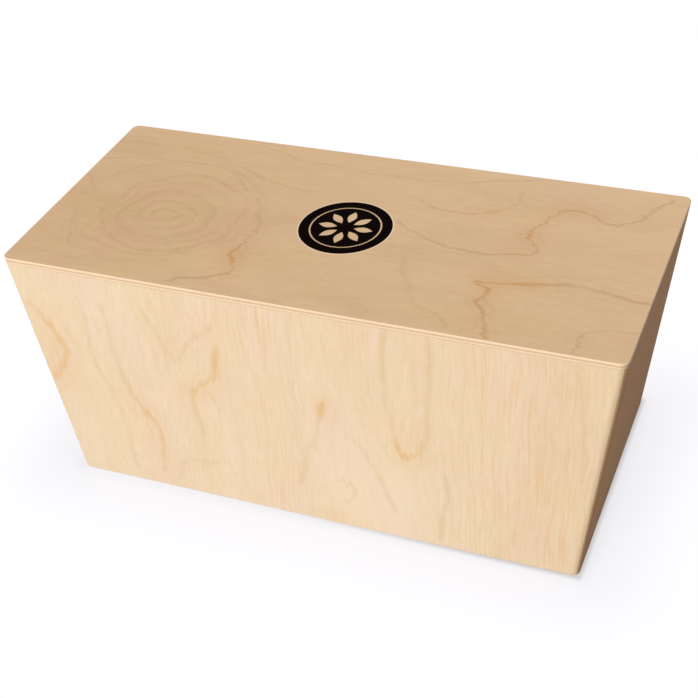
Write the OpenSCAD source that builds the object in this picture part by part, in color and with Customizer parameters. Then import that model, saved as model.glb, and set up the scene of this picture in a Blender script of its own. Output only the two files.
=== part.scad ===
// Two-chamber bongo cajon. A box of mitred birch plywood with sloping ends carries a thin
// playing plate on its top edges. A divider splits it into a small high-pitched chamber and a
// large low-pitched one, and each chamber sounds through its own round port in the rear panel.
//
// Origin: the middle of the base. +X runs along the playing plate to the player's right,
// +Y points away from the player, and +Z points up to the playing face.

/* [Body] */
// Length of the playing plate at its top face
plate_length = 400; // [360:1:480]
// Length of the body at its base
base_length = 352; // [300:1:358]
// Depth of the body from the front face to the rear face
body_depth = 178; // [150:1:220]
// Overall height from the base to the playing face
body_height = 171; // [140:1:210]
// Radius of the four outer corners, which run up the slope of the ends
corner_radius = 5; // [2:0.5:7]

/* [Plywood] */
// Thickness of the three-ply playing plate
plate_thickness = 4; // [3:0.5:6]
// Thickness of the front, rear and end panels
wall_thickness = 9; // [8:0.5:12]
// Thickness of the bottom panel
bottom_thickness = 6; // [4:0.5:9]
// Thickness of the chamber divider
divider_thickness = 9; // [6:0.5:12]

/* [Joinery] */
// Depth of the rabbet in the walls that the bottom panel is let into
rabbet_depth = 5; // [3:0.5:5]
// Depth of the grooves in the front and rear panels that hold the divider
groove_depth = 3; // [2:0.5:4]
// Room left for glue round the bottom panel and in the divider grooves
glue_gap = 0.1; // [0:0.05:0.3]
// Length of each leg of the triangular glue blocks in the inside corners
block_leg = 16; // [10:1:20]

/* [Chambers] */
// Distance of the divider's middle from the middle of the body
divider_x = -40; // [-60:1:60]
// Bore of the two sound ports
port_diameter = 50; // [35:1:60]
// Height of the port centres above the base
port_height = 86; // [60:1:100]
// Radius of the round-over on the outer rim of each port
port_round = 2.5; // [1:0.5:4]

/* [Badge] */
// Diameter of the printed disc in the middle of the playing plate
badge_diameter = 60; // [30:1:80]
// Thickness of the disc's film, which is let into the plate and ends flush with it
badge_thickness = 0.15; // [0.1:0.05:0.3]

/* [Hidden] */
$fn = 96;

FACE_BIRCH = "#ecd3ae";
PLATE_BIRCH = "#d2ae83";
INSIDE_BIRCH = "#dcc39a";
BLOCK_PINE = "#d9b783";
BADGE_BLACK = "#15100e";

LEFT = -1;
RIGHT = 1;
FRONT = -1;
REAR = 1;

slope = atan((plate_length - base_length) / 2 / body_height);  // lean of the ends from upright
walls_height = body_height - plate_thickness;                  // the plate lies on the walls
wall_along_x = wall_thickness / cos(slope);                    // an end panel, measured level
reach = 2 * (body_height + plate_length);  // length of the tools that cut along a sloping edge
past = 1;                                  // how far a tool runs beyond the face that it cuts

// Half the body's length at height z, on the outside and on the inside of the end panels
function half_outside(z) = base_length / 2 + z * tan(slope);
function half_inside(z) = half_outside(z) - wall_along_x;

// Middle of a chamber along X at height z: left of the divider or right of it
function chamber_middle(side, z) =
    (divider_x + side * divider_thickness / 2 + side * half_inside(z)) / 2;

// Places things at an outer corner: z up the sloping edge, x and y outwards through the
// end face and through the front or rear face
module at_corner(side, face) {
    translate([side * base_length / 2, face * body_depth / 2, 0])
        mirror([side == LEFT ? 1 : 0, 0, 0])
            mirror([0, face == FRONT ? 1 : 0, 0])
                rotate([0, slope, 0])
                    children();
}

// Everything between two heights and two planes along Y, with the ends on the slope.
// inset moves the ends inwards, measured level
module sloping_slab(low, high, y_from, y_to, inset = 0) {
    translate([0, y_to, 0])
        rotate([90, 0, 0])
            linear_extrude(y_to - y_from)
                polygon([
                    [-half_outside(low) + inset, low],
                    [half_outside(low) - inset, low],
                    [half_outside(high) - inset, high],
                    [-half_outside(high) + inset, high]
                ]);
}

// What sanding takes off one outer corner to round it
module corner_waste(side, face) {
    at_corner(side, face)
        translate([-corner_radius, -corner_radius, -reach / 2])
            difference() {
                cube([corner_radius + past, corner_radius + past, reach]);
                cylinder(r = corner_radius, h = reach);
            }
}

// The half-space beyond a corner's mitre plane: the end panel's share, or the front or rear
// panel's share
module beyond_mitre(side, face, share) {
    at_corner(side, face)
        rotate([0, 0, -45])
            translate([share == "end" ? 0 : -reach, -reach / 2, -reach / 2])
                cube([reach, reach, reach]);
}

// Bottom panel's outline, grown by a clearance, from just under the base to its top face
module bottom_blank(clearance, low) {
    lip = wall_thickness - rabbet_depth;
    length = base_length - 2 * lip - 2 * glue_gap + 2 * clearance;
    depth = body_depth - 2 * lip - 2 * glue_gap + 2 * clearance;
    translate([-length / 2, -depth / 2, low])
        cube([length, depth, bottom_thickness - low]);
}

// Divider's blank, grown by a clearance in its grooves
module divider_blank(clearance, low, high) {
    width = divider_thickness + 2 * clearance;
    depth = body_depth - 2 * wall_thickness + 2 * groove_depth - 2 * glue_gap + 2 * clearance;
    translate([divider_x - width / 2, -depth / 2, low])
        cube([width, depth, high - low]);
}

// The round film of the badge, from its seat in the plate up to a height
module badge_blank(high) {
    seat = body_height - badge_thickness;
    translate([0, 0, seat])
        cylinder(d = badge_diameter, h = high - seat);
}

module playing_plate() {
    color(PLATE_BIRCH)
        difference() {
            sloping_slab(walls_height, body_height, -body_depth / 2, body_depth / 2);
            for (side = [LEFT, RIGHT], face = [FRONT, REAR])
                corner_waste(side, face);
            badge_blank(body_height + past);
        }
}

module badge_disc() {
    color(BADGE_BLACK)
        badge_blank(body_height);
}

// A front or rear panel before its ports: mitred ends, divider groove, rabbet for the bottom
module long_panel(face) {
    outer = face * body_depth / 2;
    inner = outer - face * wall_thickness;
    difference() {
        sloping_slab(0, walls_height, min(outer, inner), max(outer, inner));
        for (side = [LEFT, RIGHT]) {
            corner_waste(side, face);
            beyond_mitre(side, face, "end");
        }
        divider_blank(glue_gap, -past, body_height);
        bottom_blank(glue_gap, -past);
    }
}

// One sound port's bore and the round-over on its outer rim, cut along +Y at the rear face
module port_cut(side) {
    translate([chamber_middle(side, port_height), body_depth / 2, port_height])
        rotate([90, 0, 0]) {
            translate([0, 0, -past])
                cylinder(d = port_diameter, h = wall_thickness + 2 * past);
            rotate_extrude()
                translate([port_diameter / 2 - past, 0])
                    difference() {
                        translate([0, -past])
                            square([past + port_round, port_round + past]);
                        translate([past + port_round, port_round])
                            circle(r = port_round);
                    }
        }
}

module front_panel() {
    color(FACE_BIRCH)
        long_panel(FRONT);
}

module rear_panel() {
    color(FACE_BIRCH)
        difference() {
            long_panel(REAR);
            for (side = [LEFT, RIGHT])
                port_cut(side);
        }
}

// An end panel: it leans out with the slope and is mitred at the front and the rear
module end_panel(side) {
    color(FACE_BIRCH)
        difference() {
            intersection() {
                sloping_slab(0, walls_height, -body_depth / 2, body_depth / 2);
                translate([side == RIGHT ? 0 : -plate_length, -body_depth / 2, 0])
                    cube([plate_length, body_depth, body_height]);
            }
            sloping_slab(-past, body_height, -body_depth / 2 - past, body_depth / 2 + past,
                wall_along_x);
            for (face = [FRONT, REAR]) {
                corner_waste(side, face);
                beyond_mitre(side, face, "long");
            }
            bottom_blank(glue_gap, -past);
        }
}

module bottom_panel() {
    color(INSIDE_BIRCH)
        bottom_blank(0, 0);
}

module chamber_divider() {
    color(INSIDE_BIRCH)
        divider_blank(0, bottom_thickness, walls_height);
}

// A triangular glue block down one inside corner, from the bottom panel to the plate
module corner_block(side, face) {
    color(BLOCK_PINE)
        intersection() {
            at_corner(side, face)
                translate([-wall_thickness, -wall_thickness, -reach / 2])
                    linear_extrude(reach)
                        polygon([[0, 0], [-block_leg, 0], [0, -block_leg]]);
            translate([-plate_length, -body_depth, bottom_thickness])
                cube([2 * plate_length, 2 * body_depth, walls_height - bottom_thickness]);
        }
}

playing_plate();
badge_disc();
front_panel();
rear_panel();
end_panel(LEFT);  // left_end_panel
end_panel(RIGHT);  // right_end_panel
bottom_panel();
chamber_divider();
corner_block(LEFT, FRONT);  // corner_block_front_left
corner_block(RIGHT, FRONT);  // corner_block_front_right
corner_block(LEFT, REAR);  // corner_block_rear_left
corner_block(RIGHT, REAR);  // corner_block_rear_right
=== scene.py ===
import math

import bmesh
import bpy
from mathutils import Matrix, Vector


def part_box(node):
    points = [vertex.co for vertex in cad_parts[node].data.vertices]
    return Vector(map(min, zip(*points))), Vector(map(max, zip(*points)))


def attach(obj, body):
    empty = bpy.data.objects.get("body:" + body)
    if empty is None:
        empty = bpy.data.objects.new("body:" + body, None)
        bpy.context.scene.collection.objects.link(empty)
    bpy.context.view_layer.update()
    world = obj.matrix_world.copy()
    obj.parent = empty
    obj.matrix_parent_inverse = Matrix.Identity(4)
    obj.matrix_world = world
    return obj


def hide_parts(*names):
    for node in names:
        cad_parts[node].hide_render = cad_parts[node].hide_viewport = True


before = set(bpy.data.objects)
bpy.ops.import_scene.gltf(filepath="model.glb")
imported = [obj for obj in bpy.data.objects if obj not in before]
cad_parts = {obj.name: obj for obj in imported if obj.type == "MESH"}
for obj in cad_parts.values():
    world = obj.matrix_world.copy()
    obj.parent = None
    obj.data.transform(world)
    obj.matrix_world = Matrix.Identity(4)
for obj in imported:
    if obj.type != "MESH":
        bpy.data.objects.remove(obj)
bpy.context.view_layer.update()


# ------------------------------------------------------------
# Camera
# It looks down on the box from its front right corner, over the player's right hand, and leans
# a little to one side.
# ------------------------------------------------------------

camera_turn = math.radians(25.12)
camera_height = math.radians(37.21)
camera_lean = math.radians(-5.57)
camera_distance = 0.9372
camera_aim = Vector((0, 0, 0.09))
camera_slide = Vector((-0.004, -0.0125, 0))

camera_back = Vector((
    math.sin(camera_turn) * math.cos(camera_height),
    -math.cos(camera_turn) * math.cos(camera_height),
    math.sin(camera_height),
))
camera_right = Vector((math.cos(camera_turn), math.sin(camera_turn), 0))
camera_up = camera_back.cross(camera_right)
level_axes = Matrix((camera_right, camera_up, camera_back)).transposed().to_4x4()
camera_axes = level_axes @ Matrix.Rotation(camera_lean, 4, "Z")
camera_place = camera_aim + camera_back * camera_distance + camera_axes @ camera_slide

camera = bpy.data.objects.new("camera", bpy.data.cameras.new("camera"))
bpy.context.scene.collection.objects.link(camera)
camera.data.lens = 72.7
camera.matrix_world = Matrix.Translation(camera_place) @ camera_axes
bpy.context.scene.camera = camera


# ------------------------------------------------------------
# Playing plate
# A thin board of three birch plies, glued on the top edges of the walls. The face and back plies
# run along the box and the core runs across it, so the core shows its darker end grain at the
# front edge. The rim is sanded flush with the walls and eased along the top.
# ------------------------------------------------------------

LEFT, RIGHT = -1, 1
FRONT, REAR = -1, 1

plate_low, plate_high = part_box("playing_plate")
half_depth = plate_high.y
base_half_length = 0.176
lean = (plate_high.x - base_half_length) / plate_high.z
slope = math.atan(lean)
corner_round = 0.005
corner_steps = 6
sharp_angle = math.radians(28)

badge_low, badge_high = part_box("badge_disc")
badge_radius = badge_high.x
circle_steps = 96


def half_length(z):
    """Half the box's length at height z, out to the end walls' outer faces."""
    return base_half_length + z * lean


def corner(side, face, z, start, end, inset=0.0):
    """Points round an outer corner: 0 degrees looks to the front or rear, 90 to the end."""
    across = corner_round - inset
    along = across / math.cos(slope)
    points = []
    for step in range(corner_steps + 1):
        angle = math.radians(start + (end - start) * step / corner_steps)
        x = half_length(z) - inset - along + along * math.sin(angle)
        y = half_depth - inset - across + across * math.cos(angle)
        points.append(Vector((side * x, face * y, z)))
    return points


def outline(z, inset=0.0):
    """The box's whole outline at height z, all round."""
    return (
        corner(RIGHT, FRONT, z, 0, 90, inset)
        + corner(RIGHT, REAR, z, 90, 0, inset)
        + corner(LEFT, REAR, z, 0, 90, inset)
        + corner(LEFT, FRONT, z, 90, 0, inset)
    )


def circle(middle, radius, first, second, steps=circle_steps):
    """Points round a circle that lies in the plane of two directions."""
    turns = [2 * math.pi * step / steps for step in range(steps)]
    return [middle + radius * (first * math.cos(t) + second * math.sin(t)) for t in turns]


def ring_of(mesh, points):
    return [mesh.verts.new(point) for point in points]


def skin(mesh, rings):
    """Joins each ring of vertices to the next with a band of four-sided faces."""
    for lower, upper in zip(rings, rings[1:]):
        for i in range(len(lower)):
            j = (i + 1) % len(lower)
            mesh.faces.new((lower[i], lower[j], upper[j], upper[i]))


def closed_edges(mesh, ring):
    """The edges round a ring, made where they are missing."""
    pairs = zip(ring, ring[1:] + ring[:1])
    return [mesh.edges.get(pair) or mesh.edges.new(pair) for pair in pairs]


def fill_between(mesh, *rings):
    """Fills the flat face inside the first ring, with the other rings as holes in it."""
    edges = [edge for ring in rings for edge in closed_edges(mesh, ring)]
    bmesh.ops.triangle_fill(mesh, use_beauty=True, use_dissolve=False, edges=edges)


def eased(low, high, ease_low, ease_high, steps=3):
    """(height, inset) of each ring of a board whose two edges are eased with a quarter round."""
    rings = []
    for step in range(steps + 1):
        angle = math.pi / 2 * step / steps
        rings.append((low + ease_low * (1 - math.sin(angle)), ease_low * (1 - math.cos(angle))))
    rings.reverse()
    for step in range(steps + 1):
        angle = math.pi / 2 * step / steps
        rings.append((high - ease_high * (1 - math.sin(angle)), ease_high * (1 - math.cos(angle))))
    return rings


def weld_steps(mesh):
    """Where a ring steps in at one height, three corners can lie in a line with a face squeezed
    flat between them. The face goes, and its middle corner splits the long edge."""
    no_area = 1e-10
    for face in [face for face in mesh.faces if face.calc_area() < no_area]:
        long_edge = max(face.edges, key=lambda edge: edge.calc_length())
        middle = next(vertex for vertex in face.verts if vertex not in long_edge.verts)
        start = long_edge.verts[0]
        share = (middle.co - start.co).length / long_edge.calc_length()
        mesh.faces.remove(face)
        split = bmesh.utils.edge_split(long_edge, start, share)[1]
        bmesh.ops.pointmerge(mesh, verts=[middle, split], merge_co=middle.co)


def finished(name, mesh, materials, pick, body="root"):
    """Turns a mesh into a piece that rides on the box, with each face's material picked."""
    bmesh.ops.remove_doubles(mesh, verts=mesh.verts, dist=1e-7)
    weld_steps(mesh)
    bmesh.ops.recalc_face_normals(mesh, faces=mesh.faces)
    for face in mesh.faces:
        face.smooth = True
        face.material_index = pick(face)
    data = bpy.data.meshes.new(name)
    mesh.to_mesh(data)
    mesh.free()
    for material in materials:
        data.materials.append(material)
    data.set_sharp_from_angle(angle=sharp_angle)
    piece = bpy.data.objects.new(name, data)
    bpy.context.scene.collection.objects.link(piece)
    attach(piece, body)
    return piece


def square_shading(piece):
    """Keeps wide flat faces flat beside the small rounds of their edges."""
    normals = piece.modifiers.new("flat faces", "WEIGHTED_NORMAL")
    normals.keep_sharp = True


# Wood finishes are built from these.


def feed(tree, socket, value):
    """Links a socket to another socket, or sets it to a plain value."""
    if isinstance(value, bpy.types.NodeSocket):
        tree.links.new(value, socket)
    else:
        socket.default_value = value


def maths(tree, operation, *values):
    node = tree.nodes.new("ShaderNodeMath")
    node.operation = operation
    for socket, value in zip(node.inputs, values):
        feed(tree, socket, value)
    return node.outputs[0]


def vector_maths(tree, operation, first, second):
    """Vector arithmetic. A dot product, a length or a distance comes out as a number."""
    node = tree.nodes.new("ShaderNodeVectorMath")
    node.operation = operation
    feed(tree, node.inputs[0], first)
    feed(tree, node.inputs["Scale" if operation == "SCALE" else 1], second)
    return next(s for s in node.outputs if s.enabled)


def point_at(tree, x, y, z=0.0):
    node = tree.nodes.new("ShaderNodeCombineXYZ")
    for socket, value in zip(node.inputs, (x, y, z)):
        feed(tree, socket, value)
    return node.outputs[0]


def rising(tree, value, start, end):
    """0 below start, 1 above end and a smooth rise between them."""
    node = tree.nodes.new("ShaderNodeMapRange")
    node.interpolation_type = "SMOOTHSTEP"
    for label, number in (("Value", value), ("From Min", start), ("From Max", end)):
        feed(tree, node.inputs[label], number)
    return node.outputs["Result"]


def noise(tree, along, across, seed, per_metre_along, per_metre_across, detail=2.0):
    """Noise from 0 to 1, drawn out along the grain."""
    scaled_along = maths(tree, "MULTIPLY", along, per_metre_along)
    scaled_across = maths(tree, "MULTIPLY", across, per_metre_across)
    node = tree.nodes.new("ShaderNodeTexNoise")
    feed(tree, node.inputs["Vector"], point_at(tree, scaled_along, scaled_across, seed))
    node.inputs["Scale"].default_value = 1.0
    node.inputs["Detail"].default_value = detail
    return node.outputs[0]


def blended(tree, share, first, second, way="MIX"):
    node = tree.nodes.new("ShaderNodeMix")
    node.data_type = "RGBA"
    node.blend_type = way
    factor, a, b = (s for s in node.inputs if s.enabled)
    feed(tree, factor, share)
    feed(tree, a, first)
    feed(tree, b, second)
    return next(s for s in node.outputs if s.enabled)


def new_group(name, inputs, outputs):
    """An empty node group, with its input and output sockets by name."""
    tree = bpy.data.node_groups.new(name, "ShaderNodeTree")
    for label, kind in inputs.items():
        tree.interface.new_socket(label, in_out="INPUT", socket_type=kind)
    for label, kind in outputs.items():
        tree.interface.new_socket(label, in_out="OUTPUT", socket_type=kind)
    return tree, tree.nodes.new("NodeGroupInput").outputs, tree.nodes.new("NodeGroupOutput").inputs


def use_group(tree, group, values):
    """Places a group in a tree with its inputs set, and gives its outputs."""
    node = tree.nodes.new("ShaderNodeGroup")
    node.node_tree = group
    for label, value in values.items():
        feed(tree, node.inputs[label], value)
    return node.outputs


NUMBER, COLOUR, VECTOR = "NodeSocketFloat", "NodeSocketColor", "NodeSocketVector"


def bulge_group():
    """A bulge in the log: the knife cuts its growth rings as ovals round the middle of it."""
    tree, given, out = new_group(
        "growth bulge",
        {label: NUMBER for label in (
            "Along", "Across", "Height", "Middle Along", "Middle Across",
            "Reach Along", "Reach Across", "Rise")},
        {"Height": NUMBER},
    )
    squares = []
    for way in ("Along", "Across"):
        away = maths(tree, "SUBTRACT", given[way], given["Middle " + way])
        share = maths(tree, "DIVIDE", away, given["Reach " + way])
        squares.append(maths(tree, "MULTIPLY", share, share))
    fall = maths(tree, "EXPONENT", maths(tree, "MULTIPLY", maths(tree, "ADD", *squares), -1.0))
    lifted = maths(tree, "MULTIPLY_ADD", fall, given["Rise"], given["Height"])
    feed(tree, out["Height"], lifted)
    return tree


def bell(tree, value, width):
    """1 where value is 0, and a smooth fall to nothing about two widths away."""
    share = maths(tree, "DIVIDE", value, width)
    square = maths(tree, "MULTIPLY", share, share)
    return maths(tree, "EXPONENT", maths(tree, "MULTIPLY", square, -1.0))


def raised_mask(tree, given, gap):
    """A line laid over the mask so far: a soft band of the half width with a finer core, and a
    faint second band beside it, as rings grow one within another."""
    share = maths(tree, "DIVIDE", gap, given["Half Width"])
    band = maths(tree, "MULTIPLY", bell(tree, share, 0.5), 0.82)
    core = bell(tree, share, 0.2)
    line = maths(tree, "MULTIPLY_ADD", core, 0.16, band)
    echo = bell(tree, maths(tree, "SUBTRACT", share, 1.9), 0.2)
    line = maths(tree, "MULTIPLY_ADD", echo, 0.22, line)
    return maths(tree, "MAXIMUM", given["Mask"], maths(tree, "MULTIPLY", line, given["Strength"]))


def ring_stretch_group():
    """One straight stretch of a growth ring's line, from Start along Run."""
    tree, given, out = new_group(
        "ring stretch",
        {"Mask": NUMBER, "Place": VECTOR, "Start": VECTOR, "Run": VECTOR, "Half Width": NUMBER,
         "Strength": NUMBER},
        {"Mask": NUMBER},
    )
    away = vector_maths(tree, "SUBTRACT", given["Place"], given["Start"])
    covered = vector_maths(tree, "DOT_PRODUCT", away, given["Run"])
    whole = vector_maths(tree, "DOT_PRODUCT", given["Run"], given["Run"])
    share = maths(tree, "DIVIDE", covered, whole)
    share = maths(tree, "MINIMUM", maths(tree, "MAXIMUM", share, 0.0), 1.0)
    nearest = vector_maths(tree, "SCALE", given["Run"], share)
    gap = vector_maths(tree, "DISTANCE", away, nearest)
    feed(tree, out["Mask"], raised_mask(tree, given, gap))
    return tree


def ring_oval_group():
    """A growth ring that closes up as an oval round Middle."""
    tree, given, out = new_group(
        "ring oval",
        {"Mask": NUMBER, "Place": VECTOR, "Middle": VECTOR, "Reach": VECTOR, "Half Width": NUMBER,
         "Strength": NUMBER},
        {"Mask": NUMBER},
    )
    away = vector_maths(tree, "SUBTRACT", given["Place"], given["Middle"])
    share = vector_maths(tree, "DIVIDE", away, given["Reach"])
    reached = vector_maths(tree, "DISTANCE", share, (0, 0, 0))
    apart = maths(tree, "ABSOLUTE", maths(tree, "SUBTRACT", reached, 1.0))
    whole = vector_maths(tree, "DISTANCE", away, (0, 0, 0))
    gap = maths(tree, "MULTIPLY", apart, maths(tree, "DIVIDE", whole, reached))
    feed(tree, out["Mask"], raised_mask(tree, given, gap))
    return tree


def grown_place_group():
    """Shifts a place as wood grows: rings wander, and their lines are ragged along the grain."""
    tree, given, out = new_group(
        "grown place",
        {"Along": NUMBER, "Across": NUMBER, "Seed": NUMBER, "Wander": NUMBER, "Ragged": NUMBER},
        {"Place": VECTOR},
    )
    along, across, seed = given["Along"], given["Across"], given["Seed"]
    moved = []
    for way, shift in ((along, 0.0), (across, 5.0)):
        sway = noise(tree, along, across, maths(tree, "ADD", seed, shift), 28.0, 40.0, 3.0)
        sway = maths(tree, "SUBTRACT", sway, 0.5)
        moved.append(maths(tree, "MULTIPLY_ADD", sway, given["Wander"], way))
    flame = noise(tree, along, across, maths(tree, "ADD", seed, 9.0), 45.0, 330.0, 3.0)
    flame = maths(tree, "SUBTRACT", flame, 0.5)
    moved[0] = maths(tree, "MULTIPLY_ADD", flame, given["Ragged"], moved[0])
    feed(tree, out["Place"], point_at(tree, moved[0], moved[1]))
    return tree


def veneer_group():
    """Rotary-cut birch: faint growth rings as level lines of Height, the plain lines of Ring,
    warm where Warmth says, streaks along the grain, fibres and pores."""
    tree, given, out = new_group(
        "rotary birch",
        {"Along": NUMBER, "Across": NUMBER, "Height": NUMBER, "Ring": NUMBER, "Warmth": NUMBER,
         "Streaks": NUMBER, "Shade": NUMBER, "Seed": NUMBER, "Level Lines": NUMBER,
         "Fibre": NUMBER, "Early Wood": COLOUR, "Late Wood": COLOUR, "Blush": COLOUR},
        {"Color": COLOUR, "Roughness": NUMBER, "Relief": NUMBER},
    )
    along, across, seed = given["Along"], given["Across"], given["Seed"]

    def seeded(shift):
        return maths(tree, "ADD", seed, shift)

    wide = noise(tree, along, across, seeded(0.0), 6.0, 13.0, 2.0)
    spine = noise(tree, along, across, seeded(7.0), 18.0, 75.0, 2.0)
    ragged = noise(tree, along, across, seeded(13.0), 70.0, 420.0, 3.0)
    cusp = maths(tree, "ABSOLUTE", maths(tree, "SUBTRACT", spine, 0.5))
    height = maths(tree, "MULTIPLY_ADD", maths(tree, "SUBTRACT", wide, 0.5), 2.0, given["Height"])
    height = maths(tree, "MULTIPLY_ADD", cusp, 1.1, height)
    height = maths(tree, "MULTIPLY_ADD", ragged, 0.12, height)
    turn = maths(tree, "FRACT", height)
    level = maths(tree, "SUBTRACT", 1.0, rising(tree, turn, 0.0, 0.18))
    level = maths(tree, "MAXIMUM", level, rising(tree, turn, 0.93, 1.0))
    level = maths(tree, "MULTIPLY", level, given["Level Lines"])
    line = maths(tree, "MAXIMUM", level, given["Ring"])
    fade = noise(tree, along, across, seeded(21.0), 30.0, 45.0, 2.0)
    fade = maths(tree, "MULTIPLY_ADD", rising(tree, fade, 0.32, 0.6), 0.65, 0.35)
    late = maths(tree, "MULTIPLY", line, fade)
    warmth = maths(tree, "MINIMUM", given["Warmth"], 1.0)
    warm = maths(tree, "MULTIPLY_ADD", rising(tree, late, 0.0, 0.5), 0.6, 0.2)
    warm = maths(tree, "MULTIPLY", warm, warmth)

    bend = noise(tree, along, across, seeded(33.0), 9.0, 9.0, 2.0)
    bent = maths(tree, "MULTIPLY_ADD", bend, 0.03, across)
    cloud = noise(tree, along, across, seeded(37.0), 11.0, 42.0, 3.0)
    fibre = noise(tree, along, bent, seeded(43.0), 60.0, 620.0, 4.0)
    vessel = noise(tree, along, bent, seeded(51.0), 150.0, 1100.0, 1.0)
    pore = rising(tree, vessel, 0.62, 0.76)
    band = noise(tree, along, bent, seeded(61.0), 18.0, 560.0, 3.0)
    hair = rising(tree, noise(tree, along, bent, seeded(67.0), 34.0, 1250.0, 2.0), 0.36, 0.62)
    mottle = noise(tree, along, bent, seeded(79.0), 95.0, 240.0, 4.0)
    streak = maths(tree, "MULTIPLY", rising(tree, band, 0.45, 0.64), given["Streaks"])
    streak = maths(tree, "MULTIPLY", streak, maths(tree, "MULTIPLY_ADD", hair, 0.75, 0.2))

    depth = maths(tree, "MULTIPLY_ADD", maths(tree, "SUBTRACT", cloud, 0.5), 0.45, given["Shade"])
    depth = maths(tree, "MULTIPLY_ADD", maths(tree, "SUBTRACT", fibre, 0.5), given["Fibre"], depth)
    depth = maths(tree, "MULTIPLY_ADD", maths(tree, "SUBTRACT", mottle, 0.5), 0.34, depth)
    depth = maths(tree, "MULTIPLY_ADD", pore, 0.16, depth)
    depth = maths(tree, "ADD", depth, 0.2)
    tone = blended(tree, maths(tree, "MAXIMUM", depth, 0.0), given["Early Wood"], given["Late Wood"])
    sap = rising(tree, noise(tree, along, across, seeded(73.0), 13.0, 24.0, 2.0), 0.38, 0.62)
    tint = blended(tree, sap, (1.0, 0.985, 0.99, 1), (1.0, 1.0, 0.95, 1))
    tone = blended(tree, 1.0, tone, tint, "MULTIPLY")
    tone = blended(tree, late, tone, given["Late Wood"])
    tone = blended(tree, maths(tree, "MAXIMUM", warm, streak), tone, given["Blush"])
    feed(tree, out["Color"], tone)
    feed(tree, out["Roughness"], maths(tree, "MULTIPLY_ADD", fibre, 0.16, 0.5))
    feed(tree, out["Relief"], maths(tree, "MULTIPLY_ADD", pore, -0.6, fibre))
    return tree


growth_bulge = bulge_group()
ring_stretch = ring_stretch_group()
ring_oval = ring_oval_group()
grown_place = grown_place_group()
rotary_birch = veneer_group()


def wood_material(name, roughness=0.5, specular=0.12):
    """A new material with its node tree, its shader and the piece's own coordinates."""
    material = bpy.data.materials.new(name)
    material.use_nodes = True
    tree = material.node_tree
    shader = tree.nodes["Principled BSDF"]
    shader.inputs["Roughness"].default_value = roughness
    shader.inputs["Specular IOR Level"].default_value = specular
    place = tree.nodes.new("ShaderNodeTexCoord")
    axes = tree.nodes.new("ShaderNodeSeparateXYZ")
    tree.links.new(place.outputs["Object"], axes.inputs["Vector"])
    return material, tree, shader, axes.outputs


def add_relief(tree, shader, height, distance):
    bump = tree.nodes.new("ShaderNodeBump")
    bump.inputs["Strength"].default_value = 0.5
    bump.inputs["Distance"].default_value = distance
    feed(tree, bump.inputs["Height"], height)
    feed(tree, shader.inputs["Normal"], bump.outputs["Normal"])


def heaped(tree, along, across, height, bulges):
    """Height with each bulge added: (middle along, middle across, reach along, reach across,
    rise), in metres and rings."""
    for middle_along, middle_across, reach_along, reach_across, rise in bulges:
        height = use_group(tree, growth_bulge, {
            "Along": along, "Across": across, "Height": height,
            "Middle Along": middle_along, "Middle Across": middle_across,
            "Reach Along": reach_along, "Reach Across": reach_across, "Rise": rise,
        })["Height"]
    return height


def with_corners_cut(points):
    """Each inner point of a line becomes two, a quarter of the way to its neighbours."""
    cut = [points[0]]
    for before, here, after in zip(points, points[1:], points[2:]):
        for other in (before, after):
            cut.append(tuple(0.75 * a + 0.25 * b for a, b in zip(here, other)))
    return cut + [points[-1]]


def ring_mask(tree, place, ovals, lines):
    """Where growth rings show as lines. An oval is (strength, half width, middle, reach) and a
    line is (strength, half width, the points that it passes), with (along, across) in metres."""
    mask = 0.0
    for strength, half_width, middle, reach in ovals:
        mask = use_group(tree, ring_oval, {
            "Mask": mask, "Place": place, "Middle": (*middle, 0), "Reach": (*reach, 1),
            "Half Width": half_width, "Strength": strength,
        })["Mask"]
    for strength, half_width, corners in lines:
        points = with_corners_cut(corners)
        for start, end in zip(points, points[1:]):
            mask = use_group(tree, ring_stretch, {
                "Mask": mask, "Place": place, "Start": (*start, 0),
                "Run": (end[0] - start[0], end[1] - start[1], 0),
                "Half Width": half_width, "Strength": strength,
            })["Mask"]
    return mask


def veneer(name, along, across, colours, seed, rings_per_metre=0.0, level_lines=0.0, fibre=0.35,
           wander=0.016, ragged=0.010, specular=0.12, bulges=(), ovals=(), lines=(), warm=(),
           streaks=(), shades=()):
    """A veneer face, with its grain along one axis. warm, streaks and shades list where lines
    turn orange, where fine streaks run and where the wood is darker, in the form of bulges."""
    material, tree, shader, axes = wood_material(name, specular=specular)
    along, across = axes[along], axes[across]
    grown = use_group(tree, grown_place, {
        "Along": along, "Across": across, "Seed": seed, "Wander": wander, "Ragged": ragged,
    })["Place"]
    even = maths(tree, "MULTIPLY", across, rings_per_metre)
    early, late, blush = colours
    wood = use_group(tree, rotary_birch, {
        "Along": along, "Across": across, "Seed": seed,
        "Height": heaped(tree, along, across, even, bulges),
        "Ring": ring_mask(tree, grown, ovals, lines),
        "Warmth": heaped(tree, along, across, 0.0, warm),
        "Streaks": heaped(tree, along, across, 0.0, streaks),
        "Shade": heaped(tree, along, across, 0.0, shades),
        "Level Lines": level_lines, "Fibre": fibre,
        "Early Wood": early, "Late Wood": late, "Blush": blush,
    })
    feed(tree, shader.inputs["Base Color"], wood["Color"])
    feed(tree, shader.inputs["Roughness"], wood["Roughness"])
    add_relief(tree, shader, wood["Relief"], 0.00004)
    return material


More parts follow.
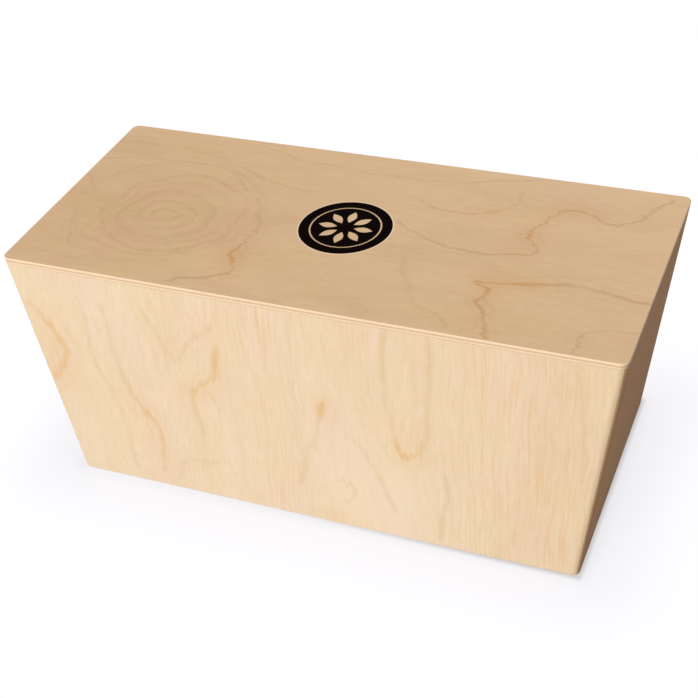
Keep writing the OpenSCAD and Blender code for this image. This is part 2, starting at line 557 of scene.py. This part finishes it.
plate_colours = (0.85, 0.615, 0.385, 1), (0.62, 0.405, 0.22, 1), (0.70, 0.36, 0.12, 1)
bullseye = (-0.120, -0.016)
plate_ovals = [
    (0.30, 0.0110, bullseye, (0.030, 0.026)),
    (0.50, 0.0040, bullseye, (0.010, 0.006)),
    (0.42, 0.0042, bullseye, (0.020, 0.016)),
    (0.52, 0.0046, bullseye, (0.031, 0.027)),
    (0.30, 0.0060, (-0.118, -0.013), (0.039, 0.036)),
    (0.46, 0.0045, (-0.116, -0.012), (0.047, 0.044)),
    (0.30, 0.0045, (-0.123, -0.006), (0.064, 0.056)),
]
plate_lines = [
    (0.45, 0.0030, [(-0.200, 0.066), (-0.125, 0.066), (-0.075, 0.041), (-0.038, 0.034)]),
    (0.45, 0.0030, [(-0.200, 0.042), (-0.150, 0.050), (-0.100, 0.049), (-0.080, 0.025)]),
    (0.40, 0.0030, [(-0.200, 0.020), (-0.182, 0.005), (-0.186, -0.025), (-0.165, -0.060)]),
    (0.40, 0.0030, [(-0.090, 0.080), (-0.050, 0.069), (0.012, 0.065), (0.050, 0.069),
                    (0.100, 0.085)]),
    (0.70, 0.0030, [(-0.075, 0.020), (-0.057, -0.003), (-0.050, -0.018), (-0.058, -0.040),
                    (-0.047, -0.066), (-0.060, -0.073), (-0.085, -0.083)]),
    (0.75, 0.0030, [(0.032, 0.014), (0.052, 0.001), (0.078, -0.007), (0.100, -0.005),
                    (0.128, 0.002), (0.110, 0.024), (0.125, 0.046), (0.132, 0.058),
                    (0.145, 0.053), (0.157, 0.041), (0.172, 0.049), (0.188, 0.081)]),
    (0.55, 0.0030, [(0.032, 0.044), (0.050, 0.034), (0.072, 0.034), (0.095, 0.051),
                    (0.098, 0.066)]),
    (0.85, 0.0030, [(0.200, -0.031), (0.155, -0.025), (0.135, -0.027), (0.098, -0.033)]),
    (0.75, 0.0032, [(0.098, -0.033), (0.109, -0.041), (0.103, -0.053), (0.113, -0.066),
                    (0.120, -0.088)]),
    (0.60, 0.0030, [(0.198, -0.058), (0.175, -0.063), (0.166, -0.076), (0.167, -0.087)]),
    (0.30, 0.0045, [(0.045, -0.021), (0.055, -0.043), (0.065, -0.061), (0.088, -0.073),
                    (0.095, -0.086)]),
]
plate_warm = [
    (-0.055, -0.050, 0.010, 0.016, 1.0),
    (0.115, 0.020, 0.012, 0.024, 0.9),
    (0.112, -0.031, 0.022, 0.009, 1.2),
    (0.108, -0.060, 0.012, 0.030, 0.6),
    (0.137, 0.055, 0.015, 0.008, 0.6),
    (0.082, 0.040, 0.010, 0.008, 0.8),
]
plate_face = veneer(
    "plate face veneer", "X", "Y", plate_colours, 3.0, rings_per_metre=14.0, level_lines=0.16,
    ovals=plate_ovals, lines=plate_lines, warm=plate_warm,
    shades=[(*bullseye, 0.040, 0.036, 0.16), (-0.200, -0.020, 0.060, 0.080, 0.10)],
)


def ply_rim(name, streaks_along, colour, dark, seed):
    """The sawn rim of one ply, with its fibres or their cut ends."""
    material, tree, shader, axes = wood_material(name, 0.55)
    run = maths(tree, "ADD", axes["X"], axes["Y"])
    grain = noise(tree, run, axes["Z"], seed, *streaks_along, 3.0)
    feed(tree, shader.inputs["Base Color"], blended(tree, grain, colour, dark))
    add_relief(tree, shader, grain, 0.00008)
    return material


long_grain_rim = ply_rim(
    "long grain rim", (60.0, 2500.0), (0.98, 0.81, 0.60, 1), (0.88, 0.67, 0.45, 1), 5.0,
)
end_grain_rim = ply_rim(
    "end grain rim", (900.0, 900.0), (0.86, 0.64, 0.42, 1), (0.64, 0.45, 0.27, 1), 9.0,
)


scraped_line = ply_rim(
    "scraped line", (300.0, 300.0), (0.99, 0.79, 0.60, 1), (0.93, 0.71, 0.51, 1), 15.0,
)
pale_margin = 0.0008


def pick_ply(face):
    """Veneer on the flat faces, the sawn rim, and bare wood in the line round the badge."""
    middle = face.calc_center_median()
    from_badge = math.hypot(middle.x, middle.y) - badge_radius
    if middle.z > plate_high.z - 1e-6 and 0 < from_badge < pale_margin:
        return 2
    return 0 if abs(face.normal.z) > 0.8 else 1


def plate_ply(name, low, high, ease_low, ease_high, rim, pocket):
    """One ply of the plate. The face ply has the badge's shallow pocket in its top, with a thin
    line scraped bare round it."""
    mesh = bmesh.new()
    rings = [ring_of(mesh, outline(z, inset)) for z, inset in eased(low, high, ease_low, ease_high)]
    skin(mesh, rings)
    mesh.faces.new(rings[0])
    if pocket:
        middle, across, away = Vector((0, 0, high)), Vector((1, 0, 0)), Vector((0, 1, 0))
        margin = circle(middle, badge_radius + pale_margin, across, away)
        top = circle(middle, badge_radius, across, away)
        floor = [point - Vector((0, 0, badge_high.z - badge_low.z)) for point in top]
        scraped, mouth, seat = (ring_of(mesh, points) for points in (margin, top, floor))
        fill_between(mesh, rings[-1], scraped)
        skin(mesh, [scraped, mouth, seat])
        mesh.faces.new(seat)
    else:
        mesh.faces.new(rings[-1])
    piece = finished(name, mesh, [plate_face, rim, scraped_line], pick_ply)
    square_shading(piece)
    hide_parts("playing_plate")
    return piece


ply_thickness = (plate_high.z - plate_low.z) / 3
core_low = plate_low.z + ply_thickness
core_high = plate_high.z - ply_thickness
hairline, seam_ease, top_ease = 0.00008, 0.0003, 0.0007
plate_ply("plate_back_ply", plate_low.z, core_low, seam_ease, hairline, long_grain_rim, False)
plate_ply("plate_core_ply", core_low, core_high, hairline, hairline, end_grain_rim, False)
plate_ply("plate_face_ply", core_high, plate_high.z, hairline, top_ease, long_grain_rim, True)


# ------------------------------------------------------------
# Badge
# A round satin black film in the middle of the plate, pressed in flush with it. A plain rosette
# and a thin ring are cut out of it, and the veneer shows through them.
# ------------------------------------------------------------

ring_outer, ring_inner = 0.0233, 0.0222
petal_count = 8
petal_start, petal_end, petal_half_width = 0.0055, 0.0185, 0.0029
petal_steps = 16


def petal(turn):
    """The outline of one pointed petal, from the tip near the middle and back to it."""
    points = []
    for way in (1, -1):
        for step in range(petal_steps):
            share = step / petal_steps if way == 1 else 1 - step / petal_steps
            out = petal_start + (petal_end - petal_start) * share
            side = way * petal_half_width * math.sin(math.pi * share)
            points.append((out, side))
    return [
        Vector((out * math.cos(turn) - side * math.sin(turn),
                out * math.sin(turn) + side * math.cos(turn), 0))
        for out, side in points
    ]


def film_material():
    material, tree, shader, axes = wood_material("badge film", specular=0.003)
    scuff = noise(tree, axes["X"], axes["Y"], 2.0, 160.0, 900.0, 4.0)
    feed(tree, shader.inputs["Base Color"],
         blended(tree, scuff, (0.0018, 0.0008, 0.0006, 1), (0.0045, 0.002, 0.0015, 1)))
    feed(tree, shader.inputs["Roughness"], maths(tree, "MULTIPLY_ADD", scuff, 0.2, 0.45))
    add_relief(tree, shader, scuff, 0.00003)
    return material


def badge_film():
    mesh = bmesh.new()
    across, away = Vector((1, 0, 0)), Vector((0, 1, 0))
    flat = Vector((0, 0, 0))
    islands = [
        [circle(flat, badge_radius - hairline, across, away), circle(flat, ring_outer, across, away)],
        [circle(flat, ring_inner, across, away)]
        + [petal(2 * math.pi * i / petal_count) for i in range(petal_count)],
    ]
    for island in islands:
        for height in (badge_low.z, badge_high.z):
            lift = Vector((0, 0, height))
            rings = [ring_of(mesh, [point + lift for point in ring]) for ring in island]
            fill_between(mesh, *rings)
            if height == badge_low.z:
                lower = rings
        for low_ring, high_ring in zip(lower, rings):
            skin(mesh, [low_ring, high_ring])
    piece = finished("badge_film", mesh, [film_material()], lambda face: 0)
    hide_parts("badge_disc")


badge_film()


# ------------------------------------------------------------
# Front and rear walls
# Birch plywood of seven plies with upright grain on both faces. Their ends are mitred on the lean
# of the box, the bottom sits in a rabbet and the divider in a groove, and the rear wall has a
# round sound port for each chamber.
# ------------------------------------------------------------

wall_top = plate_low.z
inner_half_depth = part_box("corner_block_rear_right")[1].y
wall_thickness = half_depth - inner_half_depth
bottom_low, bottom_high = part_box("bottom_panel")
divider_low, divider_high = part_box("chamber_divider")
glue_gap = 0.0001
rim_lip = half_depth - bottom_high.y - glue_gap
groove_bottom = divider_high.y + glue_gap
base_ease, joint_ease = 0.0007, 0.00025
least_bend = math.radians(40)
skin_depth = 0.004
ply_count = 7


def wall_depths():
    """(height, wall thickness there) of each ring, up a wall: thin where the bottom is let in."""
    return [(0.0, rim_lip), (bottom_high.z, rim_lip), (bottom_high.z, wall_thickness),
            (wall_top, wall_thickness)]


def inner_corner(side, face, z, thickness):
    x = half_length(z) - thickness / math.cos(slope)
    return Vector((side * x, face * (half_depth - thickness), z))


def long_wall_ring(face, z, thickness):
    """One ring of a front or rear wall, from mitre to mitre and back along its inner face."""
    points = corner(LEFT, face, z, 45, 0) + corner(RIGHT, face, z, 0, 45)
    points.append(inner_corner(RIGHT, face, z, thickness))
    inner = half_depth - thickness
    deep = max(inner, groove_bottom)
    for x, y in ((divider_high.x + glue_gap, inner), (divider_high.x + glue_gap, deep),
                 (divider_low.x - glue_gap, deep), (divider_low.x - glue_gap, inner)):
        points.append(Vector((x, face * y, z)))
    points.append(inner_corner(LEFT, face, z, thickness))
    return points


def ease_edges(piece, mesh_edges):
    """Eases the marked edges with a small round, each by its own share of the widest."""
    weights = piece.data.attributes.new("bevel_weight_edge", "FLOAT", "EDGE")
    for index, share in mesh_edges.items():
        weights.data[index].value = share
    bevel = piece.modifiers.new("eased edges", "BEVEL")
    bevel.limit_method = "WEIGHT"
    bevel.width = base_ease
    bevel.segments = 3
    square_shading(piece)


def outer_edge_shares(piece):
    """How far each sharp outward edge is eased: more along the base than at the joints."""
    shares = {}
    mesh = bmesh.new()
    mesh.from_mesh(piece.data)
    mesh.edges.ensure_lookup_table()
    for edge in mesh.edges:
        if len(edge.link_faces) != 2 or not edge.is_convex:
            continue
        if edge.calc_face_angle() < least_bend:
            continue
        at_base = all(vertex.co.z < 1e-6 for vertex in edge.verts)
        outside = all(
            abs(v.co.y) > half_depth - skin_depth
            or abs(v.co.x) > half_length(v.co.z) - skin_depth
            for v in edge.verts
        )
        shares[edge.index] = 1.0 if at_base and outside else joint_ease / base_ease
    mesh.free()
    return shares


def depth_in_long_wall(tree, axes):
    """How deep a point lies under the outer face of the front or rear wall."""
    return maths(tree, "SUBTRACT", half_depth, maths(tree, "ABSOLUTE", axes["Y"]))


def depth_in_end_wall(tree, axes):
    across = maths(tree, "MULTIPLY_ADD", axes["Z"], lean, base_half_length)
    level = maths(tree, "SUBTRACT", across, maths(tree, "ABSOLUTE", axes["X"]))
    return maths(tree, "MULTIPLY", level, math.cos(slope))


def ply_group():
    """A cut edge of plywood: plies by turns along and across, with a dark glue line between."""
    tree, given, out = new_group(
        "cut plies",
        {"Depth": NUMBER, "Ply": NUMBER, "Run": NUMBER, "Rise": NUMBER, "Seed": NUMBER,
         "Long Grain": COLOUR, "End Grain": COLOUR, "Glue": COLOUR},
        {"Color": COLOUR, "Relief": NUMBER},
    )
    count = maths(tree, "DIVIDE", given["Depth"], given["Ply"])
    crosswise = maths(tree, "MODULO", maths(tree, "FLOOR", count), 2.0)
    turn = maths(tree, "FRACT", count)
    edge = maths(tree, "MINIMUM", turn, maths(tree, "SUBTRACT", 1.0, turn))
    glue = maths(tree, "SUBTRACT", 1.0, rising(tree, edge, 0.02, 0.07))
    speckle = noise(tree, given["Run"], given["Rise"], given["Seed"], 1700.0, 1700.0, 3.0)
    streak = noise(tree, given["Run"], given["Depth"], given["Seed"], 90.0, 5000.0, 3.0)
    ends = blended(tree, speckle, given["End Grain"], given["Glue"])
    sides = blended(tree, streak, given["Long Grain"], given["End Grain"])
    colour = blended(tree, crosswise, sides, ends)
    feed(tree, out["Color"], blended(tree, maths(tree, "MULTIPLY", glue, 0.7), colour, given["Glue"]))
    feed(tree, out["Relief"], maths(tree, "MULTIPLY_ADD", glue, -1.0, speckle))
    return tree


cut_plies = ply_group()


def ply_edge(name, depth_of, run_axis, rise_axis, seed):
    material, tree, shader, axes = wood_material(name, 0.6)
    plies = use_group(tree, cut_plies, {
        "Depth": depth_of(tree, axes), "Ply": wall_thickness / ply_count,
        "Run": axes[run_axis], "Rise": axes[rise_axis], "Seed": seed,
        "Long Grain": (0.80, 0.62, 0.40, 1), "End Grain": (0.56, 0.38, 0.21, 1),
        "Glue": (0.25, 0.15, 0.08, 1),
    })
    feed(tree, shader.inputs["Base Color"], plies["Color"])
    add_relief(tree, shader, plies["Relief"], 0.0001)
    return material


wall_colours = (0.885, 0.735, 0.56, 1), (0.73, 0.53, 0.29, 1), (0.80, 0.52, 0.25, 1)
inside_colours = (0.78, 0.62, 0.42, 1), (0.60, 0.42, 0.24, 1), (0.60, 0.38, 0.2, 1)
front_lines = [
    (0.55, 0.0060, [(0.140, -0.190), (0.111, -0.167), (0.101, -0.165), (0.078, -0.182)]),
    (0.50, 0.0045, [(0.150, -0.131), (0.110, -0.129), (0.079, -0.126), (0.066, -0.117),
                    (0.055, -0.108), (0.040, -0.107), (0.015, -0.112)]),
    (0.35, 0.0045, [(0.135, -0.146), (0.103, -0.149), (0.071, -0.133), (0.009, -0.131)]),
    (0.50, 0.0045, [(0.150, -0.102), (0.108, -0.088), (0.130, -0.074), (0.143, -0.057),
                    (0.155, -0.050)]),
    (0.55, 0.0050, [(0.130, -0.056), (0.105, -0.056), (0.096, -0.066), (0.088, -0.077),
                    (0.073, -0.077), (0.050, -0.074)]),
    (0.40, 0.0050, [(0.011, -0.100), (0.031, -0.091), (0.027, -0.079), (0.034, -0.060)]),
    (0.50, 0.0060, [(0.030, -0.006), (0.060, 0.002), (0.101, 0.014)]),
    (0.45, 0.0045, [(0.080, 0.030), (0.060, 0.044), (0.021, 0.058)]),
    (0.55, 0.0050, [(0.167, 0.060), (0.125, 0.054), (0.091, 0.059), (0.068, 0.066),
                    (0.076, 0.077), (0.091, 0.083), (0.167, 0.086)]),
    (0.45, 0.0040, [(0.060, 0.092), (0.040, 0.093), (0.006, 0.086)]),
    (0.40, 0.0045, [(0.160, 0.172), (0.132, 0.178), (0.080, 0.176)]),
]
front_veneer = veneer(
    "front veneer", "Z", "X", wall_colours, 11.0, rings_per_metre=40.0, level_lines=0.12,
    fibre=0.65, wander=0.012, ragged=0.016,
    ovals=[(0.40, 0.0035, (0.030, 0.020), (0.010, 0.012)),
           (0.35, 0.0035, (0.072, -0.069), (0.022, 0.009))],
    lines=front_lines,
    warm=[(0.099, 0.014, 0.009, 0.007, 1.6), (0.055, -0.112, 0.030, 0.012, 0.9),
          (0.080, -0.178, 0.014, 0.014, 1.2), (0.110, -0.172, 0.030, 0.012, 0.7),
          (0.115, -0.056, 0.026, 0.008, 1.0), (0.090, -0.072, 0.010, 0.012, 0.9),
          (0.075, 0.066, 0.022, 0.018, 1.0), (0.004, 0.015, 0.010, 0.012, 1.2)],
    streaks=[(0.085, -0.020, 1.0, 0.020, 0.35), (0.085, 0.112, 1.0, 0.022, 0.50),
             (0.110, 0.160, 1.0, 0.034, 0.60), (0.160, -0.060, 0.040, 0.040, 0.40),
             (0.160, 0.040, 0.025, 0.050, 0.40)],
    shades=[(0.100, 0.180, 0.150, 0.060, 0.16), (0.105, -0.185, 0.040, 0.020, 0.12),
            (0.030, 0.045, 0.050, 0.060, -0.22)],
)
rear_veneer = veneer(
    "rear veneer", "Z", "X", wall_colours, 23.0, rings_per_metre=26.0, level_lines=0.5,
    bulges=[(0.180, 0.090, 0.080, 0.030, 2.4), (-0.020, -0.060, 0.090, 0.030, 2.2)],
    streaks=[(0.085, 0.0, 1.0, 0.030, 0.4)],
)
inside_veneer = veneer(
    "inside veneer", "Z", "X", inside_colours, 31.0, rings_per_metre=25.0, level_lines=0.4,
    fibre=0.4,
)
long_wall_plies = ply_edge("long wall plies", depth_in_long_wall, "X", "Z", 3.0)


def pick_long_wall(face_side):
    """Outer veneer, inner veneer, or cut plies, by where a face lies and looks."""
    def pick(face):
        middle = face.calc_center_median()
        outwards = face.normal.y * face_side
        if abs(face.normal.z) > 0.5:
            return 2
        if abs(middle.y) > half_depth - corner_round and outwards > 0.2:
            return 0
        if outwards < -0.99 and abs(middle.y) < inner_half_depth + 1e-5:
            return 1
        return 2
    return pick


port_radius, port_round, port_round_steps = 0.025, 0.0025, 5
port_height = 0.086


def cut_port(mesh, middle_x, middle_z):
    """The rings of a port: a round-over at the rear face, the bore and its inner rim."""
    across, up = Vector((1, 0, 0)), Vector((0, 0, 1))
    rings = []
    for step in range(port_round_steps + 1):
        angle = math.pi / 2 * step / port_round_steps
        radius = port_radius + port_round * (1 - math.sin(angle))
        y = half_depth - port_round * (1 - math.cos(angle))
        rings.append(ring_of(mesh, circle(Vector((middle_x, y, middle_z)), radius, across, up)))
    inner = circle(Vector((middle_x, inner_half_depth, middle_z)), port_radius, across, up)
    rings.append(ring_of(mesh, inner))
    skin(mesh, rings)
    return rings[0], rings[-1]


def port_middle(side):
    """Ports sit halfway between the divider and the end wall's inner face."""
    end = side * (half_length(port_height) - wall_thickness / math.cos(slope))
    divider = divider_high.x if side == RIGHT else divider_low.x
    return (end + divider) / 2


def long_wall(name, node, face, veneer_material, ports):
    mesh = bmesh.new()
    rings = [ring_of(mesh, long_wall_ring(face, z, t)) for z, t in wall_depths()]
    skin(mesh, rings)
    mesh.faces.new(rings[0])
    mesh.faces.new(rings[-1])
    if ports:
        bored = [cut_port(mesh, port_middle(side), port_height) for side in (LEFT, RIGHT)]
        low, high = rings[-2], rings[-1]
        n = corner_steps
        outer_ring = [low[n], low[n + 1], high[n + 1], high[n]]
        m = 2 * n + 2
        right_ring = [low[m], low[m + 1], high[m + 1], high[m]]
        left_ring = [low[m + 4], low[m + 5], high[m + 5], high[m + 4]]
        for ring in (outer_ring, right_ring, left_ring):
            face_there = mesh.faces.get(ring)
            mesh.faces.remove(face_there)
        fill_between(mesh, outer_ring, bored[0][0], bored[1][0])
        fill_between(mesh, left_ring, bored[0][1])
        fill_between(mesh, right_ring, bored[1][1])
    materials = [veneer_material, inside_veneer, long_wall_plies]
    piece = finished(name, mesh, materials, pick_long_wall(face))
    ease_edges(piece, outer_edge_shares(piece))
    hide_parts(node)
    return piece


long_wall("front_wall", "front_panel", FRONT, front_veneer, False)
long_wall("rear_wall", "rear_panel", REAR, rear_veneer, True)


# ------------------------------------------------------------
# End walls
# The same plywood, leaning out towards the top, with upright grain. Their veneer is written
# darker and redder than the front's: painted shade, on top of the real shade the lamps leave there.
# ------------------------------------------------------------

# Painted shade: the same birch as the front, with its colours written darker and redder because the
# ends stand in shade.
end_colours_painted_shade = (0.77, 0.50, 0.305, 1), (0.54, 0.32, 0.17, 1), (0.64, 0.36, 0.17, 1)


def end_wall_ring(side, z, thickness):
    points = corner(side, FRONT, z, 45, 90) + corner(side, REAR, z, 90, 45)
    points.append(inner_corner(side, REAR, z, thickness))
    points.append(inner_corner(side, FRONT, z, thickness))
    return points


def pick_end_wall(side):
    def pick(face):
        outwards = face.normal.x * side
        middle = face.calc_center_median()
        if abs(face.normal.z) > 0.5:
            return 2
        if outwards > 0.2 and abs(middle.x) > half_length(middle.z) - corner_round:
            return 0
        if outwards < -0.9 and abs(middle.x) < half_length(middle.z) - wall_thickness + 1e-5:
            return 1
        return 2
    return pick


end_plies = ply_edge("end wall plies", depth_in_end_wall, "Y", "Z", 8.0)
end_inside = veneer(
    "end inside veneer", "Z", "Y", inside_colours, 41.0, rings_per_metre=25.0, level_lines=0.4,
    fibre=0.4,
)


def end_wall(name, node, side, seed):
    mesh = bmesh.new()
    rings = [ring_of(mesh, end_wall_ring(side, z, t)) for z, t in wall_depths()]
    skin(mesh, rings)
    mesh.faces.new(rings[0])
    mesh.faces.new(rings[-1])
    # The end veneer's colours carry painted shade.
    face_veneer = veneer(
        name + " veneer", "Z", "Y", end_colours_painted_shade, seed, rings_per_metre=45.0, level_lines=0.35,
        fibre=0.45, specular=0.01, streaks=[(0.085, 0.0, 1.0, 0.120, 0.5)],
    )
    piece = finished(name, mesh, [face_veneer, end_inside, end_plies], pick_end_wall(side))
    ease_edges(piece, outer_edge_shares(piece))
    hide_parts(node)
    return piece


end_wall("left_end_wall", "left_end_panel", LEFT, 53.0)
end_wall("right_end_wall", "right_end_panel", RIGHT, 67.0)


# ------------------------------------------------------------
# Bottom
# Thinner birch plywood, let into the rabbet round the walls and flush with the base.
# ------------------------------------------------------------


def board(name, node, low, high, materials, pick):
    """A flat board with square corners and every edge eased."""
    mesh = bmesh.new()
    corners = [(x, y) for x, y in ((low.x, low.y), (high.x, low.y), (high.x, high.y), (low.x, high.y))]
    rings = [ring_of(mesh, [Vector((x, y, z)) for x, y in corners]) for z in (low.z, high.z)]
    skin(mesh, rings)
    mesh.faces.new(rings[0])
    mesh.faces.new(rings[1])
    piece = finished(name, mesh, materials, pick)
    bevel = piece.modifiers.new("eased edges", "BEVEL")
    bevel.width = seam_ease
    bevel.segments = 2
    square_shading(piece)
    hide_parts(node)
    return piece


bottom_face = veneer(
    "bottom veneer", "X", "Y", inside_colours, 71.0, rings_per_metre=20.0, level_lines=0.5,
    fibre=0.4, bulges=[(0.06, 0.02, 0.09, 0.03, 2.0)],
)
bottom_board = board(
    "bottom_board", "bottom_panel", bottom_low, bottom_high, [bottom_face, long_grain_rim],
    lambda face: 0 if abs(face.normal.z) > 0.5 else 1,
)


# ------------------------------------------------------------
# Chamber divider
# A plywood board that stands on the bottom in grooves in the front and rear walls. It parts the
# small chamber on the left from the large one on the right.
# ------------------------------------------------------------

divider_board = board(
    "divider_board", "chamber_divider", divider_low, divider_high, [end_inside, long_grain_rim],
    lambda face: 0 if abs(face.normal.x) > 0.5 else 1,
)


# ------------------------------------------------------------
# Glue blocks
# Three-sided strips of sawn softwood, glued down each inside corner to stiffen the mitre.
# ------------------------------------------------------------

block_low, block_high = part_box("corner_block_front_right")
block_leg = block_high.y - block_low.y
block_ease = 0.0004


def softwood_material():
    material, tree, shader, axes = wood_material("sawn softwood", 0.7)
    across = maths(tree, "ADD", axes["X"], axes["Y"])
    ring = noise(tree, axes["Z"], across, 4.0, 3.0, 420.0, 3.0)
    colour = blended(tree, rising(tree, ring, 0.4, 0.7), (0.80, 0.62, 0.38, 1), (0.60, 0.38, 0.18, 1))
    feed(tree, shader.inputs["Base Color"], colour)
    add_relief(tree, shader, ring, 0.0002)
    return material


softwood = softwood_material()


def glue_block(name, node, side, face):
    mesh = bmesh.new()
    rings = []
    for z in (block_low.z, block_high.z):
        inside = inner_corner(side, face, z, wall_thickness)
        along = inside - Vector((side * block_leg / math.cos(slope), 0, 0))
        across = inside - Vector((0, face * block_leg, 0))
        rings.append(ring_of(mesh, [inside, along, across]))
    skin(mesh, rings)
    mesh.faces.new(rings[0])
    mesh.faces.new(rings[1])
    piece = finished(name, mesh, [softwood], lambda face: 0)
    bevel = piece.modifiers.new("eased edges", "BEVEL")
    bevel.width = block_ease
    bevel.segments = 2
    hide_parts(node)


for side, side_word in ((LEFT, "left"), (RIGHT, "right")):
    for face, face_word in ((FRONT, "front"), (REAR, "rear")):
        glue_block(
            f"glue_block_{face_word}_{side_word}", f"corner_block_{face_word}_{side_word}",
            side, face,
        )


# ------------------------------------------------------------
# Floor and light
# A white studio floor whose lit part keeps the box's soft shadow and whose own shine has shadow
# painted in round the base, a large soft lamp low in front of the box, one above it and one behind
# it, and a weak even fill from all round.
# ------------------------------------------------------------


def seen_directly(tree):
    """1 for rays from the camera, in a mirror or through glass, and 0 for light on the box."""
    path = tree.nodes.new("ShaderNodeLightPath")
    mirrored = maths(
        tree, "MAXIMUM", path.outputs["Is Glossy Ray"], path.outputs["Is Transmission Ray"]
    )
    return maths(tree, "MAXIMUM", path.outputs["Is Camera Ray"], mirrored)


def within(tree, distance, near, far):
    """1 nearer than near, 0 beyond far and a smooth fall between them."""
    return maths(tree, "SUBTRACT", 1.0, rising(tree, distance, near, far))


floor_half = 6.0
floor_mesh = bpy.data.meshes.new("floor")
floor_mesh.from_pydata(
    [(-floor_half, -floor_half, 0), (floor_half, -floor_half, 0),
     (floor_half, floor_half, 0), (-floor_half, floor_half, 0)],
    [], [(0, 1, 2, 3)],
)
floor = bpy.data.objects.new("floor", floor_mesh)
bpy.context.scene.collection.objects.link(floor)
floor_paint = bpy.data.materials.new("floor paint")
floor_paint.use_nodes = True
tree = floor_paint.node_tree
tree.nodes.clear()
shown = tree.nodes.new("ShaderNodeMixShader")
matt = tree.nodes.new("ShaderNodeBsdfDiffuse")
matt.inputs["Color"].default_value = (0.28, 0.24, 0.21, 1)
ground = tree.nodes.new("ShaderNodeTexCoord")
ground_axes = tree.nodes.new("ShaderNodeSeparateXYZ")
tree.links.new(ground.outputs["Object"], ground_axes.inputs[0])
beyond = []
for axis, half in (("X", base_half_length), ("Y", half_depth)):
    past_base = maths(tree, "SUBTRACT", maths(tree, "ABSOLUTE", ground_axes.outputs[axis]), half)
    beyond.append(maths(tree, "MAXIMUM", past_base, 0.0))
from_base = vector_maths(tree, "DISTANCE", point_at(tree, *beyond), (0, 0, 0))
near_base = within(tree, from_base, 0.02, 0.11)
away_from_lamp = rising(tree, ground_axes.outputs["X"], -0.08, 0.14)
# Painted contact shadow: a thin dark line along the base, on the side away from the front lamp.
painted_contact_shadow = maths(tree, "MULTIPLY", within(tree, from_base, 0.0, 0.004), away_from_lamp)
bright = tree.nodes.new("ShaderNodeEmission")
bright.inputs["Color"].default_value = (0.99, 0.98, 1.0, 1)
# Painted shadow: the floor's own shine dims close to the box's base and along that thin line, as the
# shine takes no shadow from the lamps.
shine_with_painted_shadow = 1.02
for shade, darker in (
    (near_base, 0.145),
    (within(tree, from_base, 0.0, 0.07), 0.055),
    (within(tree, from_base, 0.0, 0.012), 0.05),
    (painted_contact_shadow, 0.24),
):
    shine_with_painted_shadow = maths(tree, "MULTIPLY_ADD", shade, -darker, shine_with_painted_shadow)
feed(tree, bright.inputs["Strength"], shine_with_painted_shadow)
shaded = tree.nodes.new("ShaderNodeBsdfDiffuse")
feed(tree, shaded.inputs["Color"],
     blended(tree, near_base, (0, 0, 0, 1), (0.17, 0.18, 0.21, 1)))
both = tree.nodes.new("ShaderNodeAddShader")
tree.links.new(bright.outputs[0], both.inputs[0])
tree.links.new(shaded.outputs[0], both.inputs[1])
feed(tree, shown.inputs[0], seen_directly(tree))
tree.links.new(matt.outputs[0], shown.inputs[1])
tree.links.new(both.outputs[0], shown.inputs[2])
surface = tree.nodes.new("ShaderNodeOutputMaterial")
tree.links.new(shown.outputs[0], surface.inputs["Surface"])
floor_mesh.materials.append(floor_paint)

world = bpy.data.worlds.new("studio")
bpy.context.scene.world = world
world.use_nodes = True
tree = world.node_tree
background = tree.nodes["Background"]
fill_strength = 0.19
direct = seen_directly(tree)
strength = maths(tree, "MULTIPLY_ADD", direct, 1.0 - fill_strength, fill_strength)
feed(tree, background.inputs["Strength"], strength)
fill_colour, white = (1.0, 0.83, 0.70, 1), (1, 1, 1, 1)
feed(tree, background.inputs["Color"], blended(tree, direct, fill_colour, white))


lamp_aim = Vector((0, 0, 0.09))


def soft_lamp(name, turn, height, distance, size, watts, colour):
    """A square lamp that looks at the middle of the box. Turn is to the player's right."""
    turn, height = math.radians(turn), math.radians(height)
    lamp = bpy.data.objects.new(name, bpy.data.lights.new(name, "AREA"))
    bpy.context.scene.collection.objects.link(lamp)
    lamp.data.size = size
    lamp.data.energy = watts
    lamp.data.color = colour
    away = Vector((
        math.sin(turn) * math.cos(height), -math.cos(turn) * math.cos(height), math.sin(height),
    ))
    lamp.location = lamp_aim + away * distance
    lamp.rotation_euler = away.to_track_quat("Z", "Y").to_euler()


soft_lamp("front_lamp", -14, 12, 4.0, 1.8, 133, (1.0, 0.995, 0.985))
soft_lamp("top_lamp", 90, 82, 3.0, 2.4, 36, (1.0, 0.98, 0.96))
soft_lamp("rear_lamp", 180, 15, 3.0, 2.2, 40, (1.0, 0.98, 0.96))

bpy.context.scene.view_settings.view_transform = "Standard"
